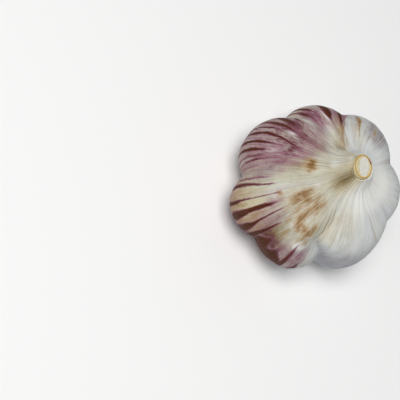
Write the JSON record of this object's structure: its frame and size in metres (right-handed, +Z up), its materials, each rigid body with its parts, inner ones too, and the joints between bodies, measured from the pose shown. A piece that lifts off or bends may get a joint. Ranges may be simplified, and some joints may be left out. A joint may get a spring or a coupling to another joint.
{
  "type": "garlic bulb",
  "caption": "Whole hardneck garlic bulb in tight papery skin, lobed by the cloves under it, with a pleated neck, a cut flower stalk and a trimmed root plate.",
  "frame": {"origin": "centre of the root plate's flat underside, where the bulb stands", "axes": "+Z up along the flower stalk; +X and +Y lie in the plane the bulb stands on, with no front of its own"},
  "size_m": [0.0603, 0.0631, 0.0544],
  "materials": {
    "skin": "thin satin papery leaf skin, cream to cool white with purple streaks",
    "stalk": "cut dry stalk, white pith in an ochre rind",
    "roots": "matte corky root plate with trimmed root stubs"
  },
  "bodies": {
    "root": {"bulb": "skin", "stalk": "stalk", "root_plate": "roots"}
  },
  "joints": []
}
